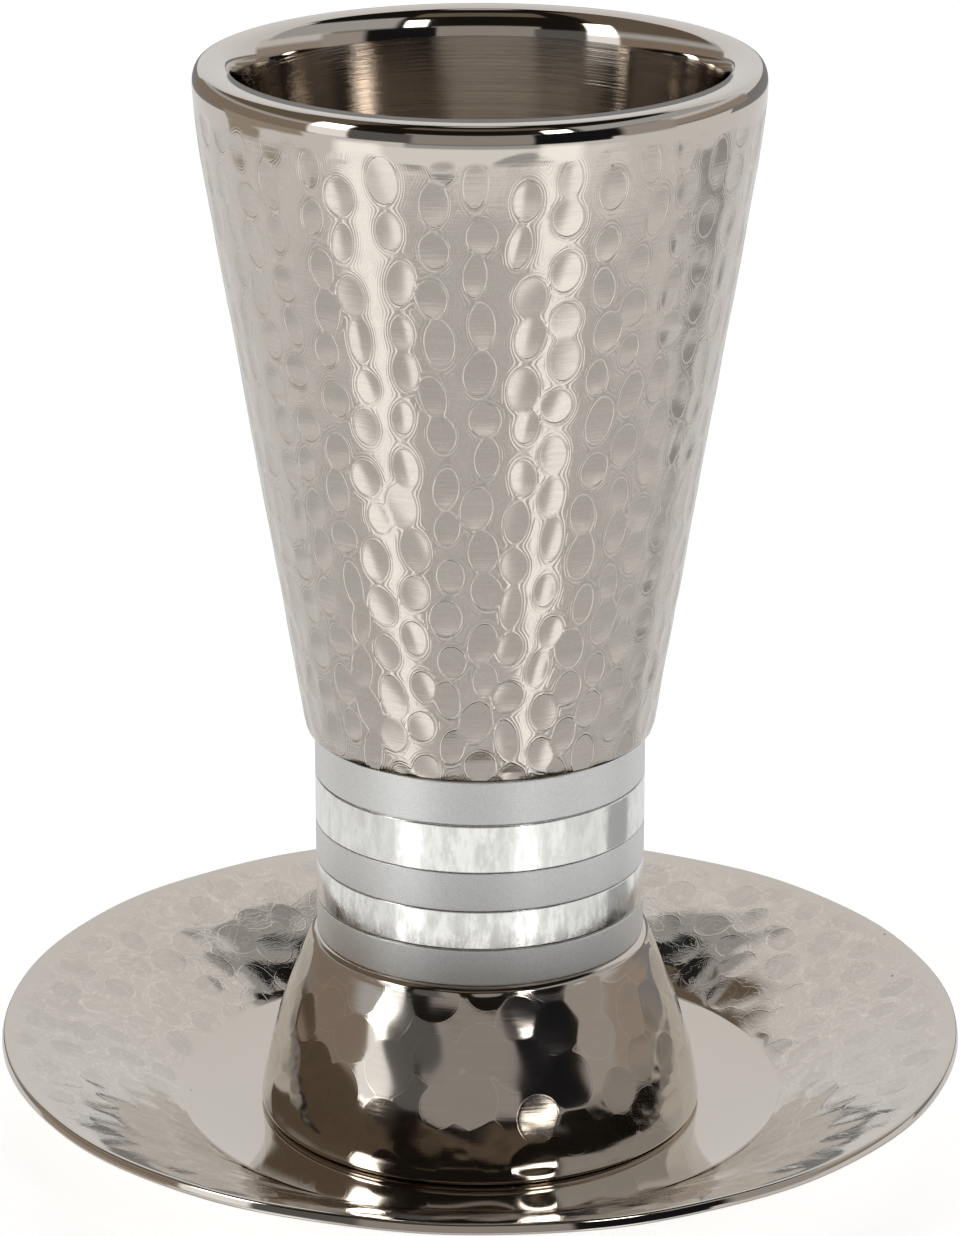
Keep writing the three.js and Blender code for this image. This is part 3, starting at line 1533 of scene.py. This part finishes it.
@dataclass
class Studio:
    """A dark room with a pale table, a pale sweep behind it, screens and soft lights."""

    floor_size: float = 3.0
    floor_drop: float = 0.05 * MM
    floor_colour: float = 0.93
    floor_glow: float = 0.7
    camera_place: tuple[float, float, float] = (0.0, -0.5914, 0.2745)
    camera_pitch: float = math.radians(70.87)
    camera_lens: float = 139.6
    dark: Colour = (0.012, 0.010, 0.008)
    panels: tuple[Panel, ...] = tuple(Panel(*row) for row in PANELS)

    def build(self) -> None:
        """Make the world, the floor and the camera."""
        self.make_world()
        self.make_floor()
        self.make_camera()
        bpy.context.scene.view_settings.view_transform = "Standard"
        log.info("studio: %d panels", len(self.panels))

    def make_world(self) -> None:
        """Light the object with the panels, and show the camera a white backdrop."""
        world = bpy.data.worlds.new("studio")
        bpy.context.scene.world = world
        world.use_nodes = True
        tree = Tree(world.node_tree)
        x, y, z = tree.split(tree.add("ShaderNodeTexCoord").outputs["Generated"])
        azimuth = tree.math("ARCTAN2", x, tree.times(y, -1.0))
        elevation = tree.math("ARCSINE", z)
        light: object = opaque(self.dark)
        for panel in self.panels:
            light = tree.mix(panel.mask(tree, azimuth, elevation), light, opaque(panel.light))
        seen = tree.add("ShaderNodeLightPath").outputs["Is Camera Ray"]
        shade = tree.add("ShaderNodeBackground", tree.mix(seen, light, opaque(1.0)))
        tree.add("ShaderNodeOutputWorld", shade.outputs[0])

    def make_floor(self) -> None:
        """Lay a plain pale floor, which the metal sees as the studio's table."""
        bm = bmesh.new()
        bmesh.ops.create_grid(bm, x_segments=1, y_segments=1, size=self.floor_size)
        bmesh.ops.translate(bm, verts=bm.verts, vec=(0.0, 0.0, -self.floor_drop))
        floor = settle(bm, "floor")
        floor.visible_glossy = False
        skin = Skin(
            "pale_floor",
            Base_Color=opaque(self.floor_colour),
            Roughness=1.0,
            Specular_IOR_Level=0.0,
            Emission_Color=opaque(1.0),
            Emission_Strength=self.floor_glow,
        )
        floor.data.materials.append(skin.material)

    def make_camera(self) -> None:
        """Set the camera a little above the cup, looking down at it."""
        data = bpy.data.cameras.new("camera")
        data.lens = self.camera_lens
        camera = bpy.data.objects.new("camera", data)
        camera.location = self.camera_place
        camera.rotation_euler = (self.camera_pitch, 0.0, 0.0)
        bpy.context.scene.collection.objects.link(camera)
        bpy.context.scene.camera = camera


# -------------------------------------------------------------------------------------- main


@dataclass
class KiddushCup:
    """The whole object: saucer, foot, five discs and bowl."""

    palette: Palette = field(default_factory=Palette)
    rings: tuple[tuple[str, Metal, float], ...] = (
        ("bottom_satin_ring", Metal.SATIN, 0.12 * MM),
        ("lower_polished_ring", Metal.POLISHED, 0.14 * MM),
        ("middle_satin_ring", Metal.SATIN, 0.05 * MM),
        ("upper_polished_ring", Metal.POLISHED, 0.05 * MM),
        ("top_satin_ring", Metal.SATIN, 0.18 * MM),
    )

    def build(self) -> None:
        """Build every piece, from the floor up."""
        Saucer("saucer", (Metal.SAUCER,), self.palette).build()
        Foot("foot", (Metal.FOOT,), self.palette).build()
        for node, metal, gap in self.rings:
            Ring(node, (metal,), self.palette, gap=gap).build()
        Bowl("bowl", (Metal.BOWL_OUTSIDE, Metal.BOWL_INSIDE), self.palette).build()


def main() -> None:
    """Build the studio and the object, and report each piece."""
    logging.basicConfig(level=logging.INFO, format="%(name)s: %(message)s")
    Studio().build()
    KiddushCup().build()


if __name__ == "__main__":
    main()
